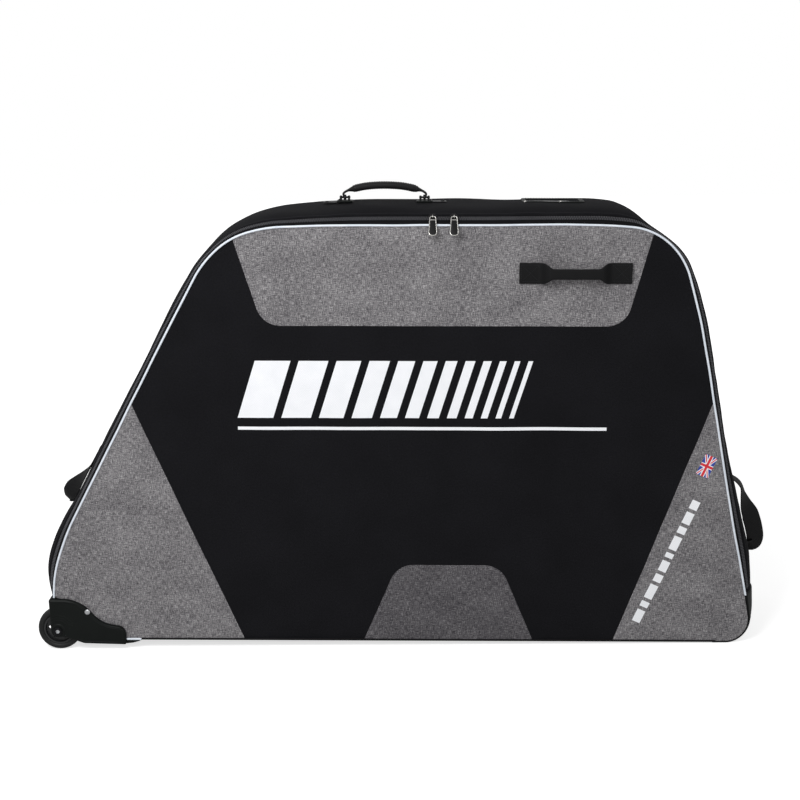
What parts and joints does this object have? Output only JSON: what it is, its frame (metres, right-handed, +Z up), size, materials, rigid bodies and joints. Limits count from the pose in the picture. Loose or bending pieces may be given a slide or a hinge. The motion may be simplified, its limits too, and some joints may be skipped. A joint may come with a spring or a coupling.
{
  "type": "soft bike travel bag",
  "caption": "Soft wheeled travel bag for one bicycle, with a zipped front cover, a carry handle on top and webbing loops on both ends.",
  "frame": {"origin": "centre of the bounding box on the floor, with the bag standing on its wheels and its lower right corner", "axes": "+X from the wheels to the tow loop, +Y from the front cover to the back panel, +Z up"},
  "size_m": [1.4068, 0.3132, 0.887],
  "materials": {
    "black_fabric": "matte woven polyester",
    "grey_fabric": "heather grey woven polyester",
    "black_webbing": "ribbed webbing",
    "white_piping": "reflective piping",
    "black_piping": "satin piping",
    "zip_coil": "nylon coil",
    "nickel": "gunmetal nickel",
    "black_moulding": "moulded, slight gloss",
    "black_tyre": "polyurethane",
    "grey_hub": "moulded",
    "steel": "plated",
    "clear_window": "clear vinyl",
    "foam": "lined foam",
    "board": "board"
  },
  "bodies": {
    "bag": {"gusset": "black_fabric", "gusset_between_wheels": "black_fabric", "front_lower_panel": "black_fabric", "back_panel": "black_fabric", "back_padding": "foam", "grey_left_strip": "grey_fabric", "grey_right_strip": "grey_fabric", "grey_centre_strip": "grey_fabric", "front_base_piping": "white_piping", "rear_piping": "black_piping", "zip_row_bag": "zip_coil", "front_wheel_housing": "black_moulding", "rear_wheel_housing": "black_moulding", "front_housing_rivet": "steel", "front_axle_bolt": "steel", "rear_housing_rivet": "steel", "rear_axle_bolt": "steel", "bottom_panel": "black_fabric", "base_board": "board", "corner_guard": "black_moulding", "top_handle_foot_left": "black_moulding", "top_handle_pin_left": "steel", "top_handle_plate_left": "steel", "top_handle_foot_right": "black_moulding", "top_handle_pin_right": "steel", "top_handle_plate_right": "steel", "label_frame": "black_moulding", "label_window": "clear_window", "left_loop_patch": "black_webbing", "right_loop_patch": "black_webbing", "back_wheel_sleeve": "black_fabric", "frame_block": "foam", "frame_tie_strap": "black_webbing"},
    "cover": {"front_panel": "black_fabric", "front_padding": "foam", "cover_rim": "black_fabric", "grey_top_panel": "grey_fabric", "grey_left_panel": "grey_fabric", "grey_right_panel": "grey_fabric", "grey_centre_panel": "grey_fabric", "front_piping": "white_piping", "zip_row_cover": "zip_coil", "grab_handle_end_left": "black_webbing", "grab_handle_end_right": "black_webbing", "cover_wheel_sleeve": "black_fabric"},
    "front_wheel": {"front_tyre": "black_tyre", "front_hub": "grey_hub", "front_bearing": "steel"},
    "rear_wheel": {"rear_tyre": "black_tyre", "rear_hub": "grey_hub", "rear_bearing": "steel"},
    "top_handle": {"top_handle_grip": "black_moulding"},
    "grab_handle": {"grab_handle_grip": "black_webbing"},
    "left_loop": {"left_end_loop": "black_webbing"},
    "right_loop": {"right_end_loop": "black_webbing"},
    "slider_left": {"zip_slider_left": "nickel"},
    "slider_right": {"zip_slider_right": "nickel"},
    "pull_left": {"zip_pull_left": "nickel"},
    "pull_right": {"zip_pull_right": "nickel"}
  },
  "joints": [
    {"name": "cover_hinge", "type": "hinge", "parent": "bag", "child": "cover", "pos_m": [-0.0053, -0.13578, 0.11238], "axis": [0.9999, 0, -0.0149], "range_deg": [0, 95]},
    {"name": "front_wheel_spin", "type": "hinge", "parent": "bag", "child": "front_wheel", "pos_m": [-0.66142, -0.12268, 0.042], "axis": [0, 1, 0], "continuous": true},
    {"name": "rear_wheel_spin", "type": "hinge", "parent": "bag", "child": "rear_wheel", "pos_m": [-0.66142, 0.13332, 0.042], "axis": [0, 1, 0], "continuous": true},
    {"name": "top_handle_swing", "type": "hinge", "parent": "bag", "child": "top_handle", "pos_m": [-0.02335, 0.00532, 0.84775], "axis": [0.9999, 0, -0.0149], "range_deg": [-70, 70]},
    {"name": "grab_handle_swing", "type": "hinge", "parent": "cover", "child": "grab_handle", "pos_m": [0.32278, -0.13923, 0.71942], "axis": [0.9999, 0, -0.0149], "range_deg": [-35, 35], "stiffness_Nm_per_rad": 0.05},
    {"name": "left_loop_swing", "type": "hinge", "parent": "bag", "child": "left_loop", "pos_m": [-0.62004, 0.00532, 0.31029], "axis": [0.4671, 0, 0.8842], "range_deg": [-50, 50], "stiffness_Nm_per_rad": 0.1},
    {"name": "right_loop_swing", "type": "hinge", "parent": "bag", "child": "right_loop", "pos_m": [0.64356, 0.00532, 0.23229], "axis": [-0.1738, 0, 0.9848], "range_deg": [-50, 50], "stiffness_Nm_per_rad": 0.1},
    {"name": "zip_slider_left_travel", "type": "slide", "parent": "cover", "child": "slider_left", "axis": [-0.9999, 0, 0.0149], "range_m": [0, 0.25]},
    {"name": "zip_slider_right_travel", "type": "slide", "parent": "cover", "child": "slider_right", "axis": [0.9999, 0, -0.0149], "range_m": [0, 0.29]},
    {"name": "zip_pull_left_swing", "type": "hinge", "parent": "slider_left", "child": "pull_left", "pos_m": [0.06531, -0.13001, 0.82405], "axis": [-0.9999, 0, 0.0149], "range_deg": [0, 110]},
    {"name": "zip_pull_right_swing", "type": "hinge", "parent": "slider_right", "child": "pull_right", "pos_m": [0.1038, -0.13001, 0.82347], "axis": [-0.9999, 0, 0.0149], "range_deg": [0, 110]}
  ]
}
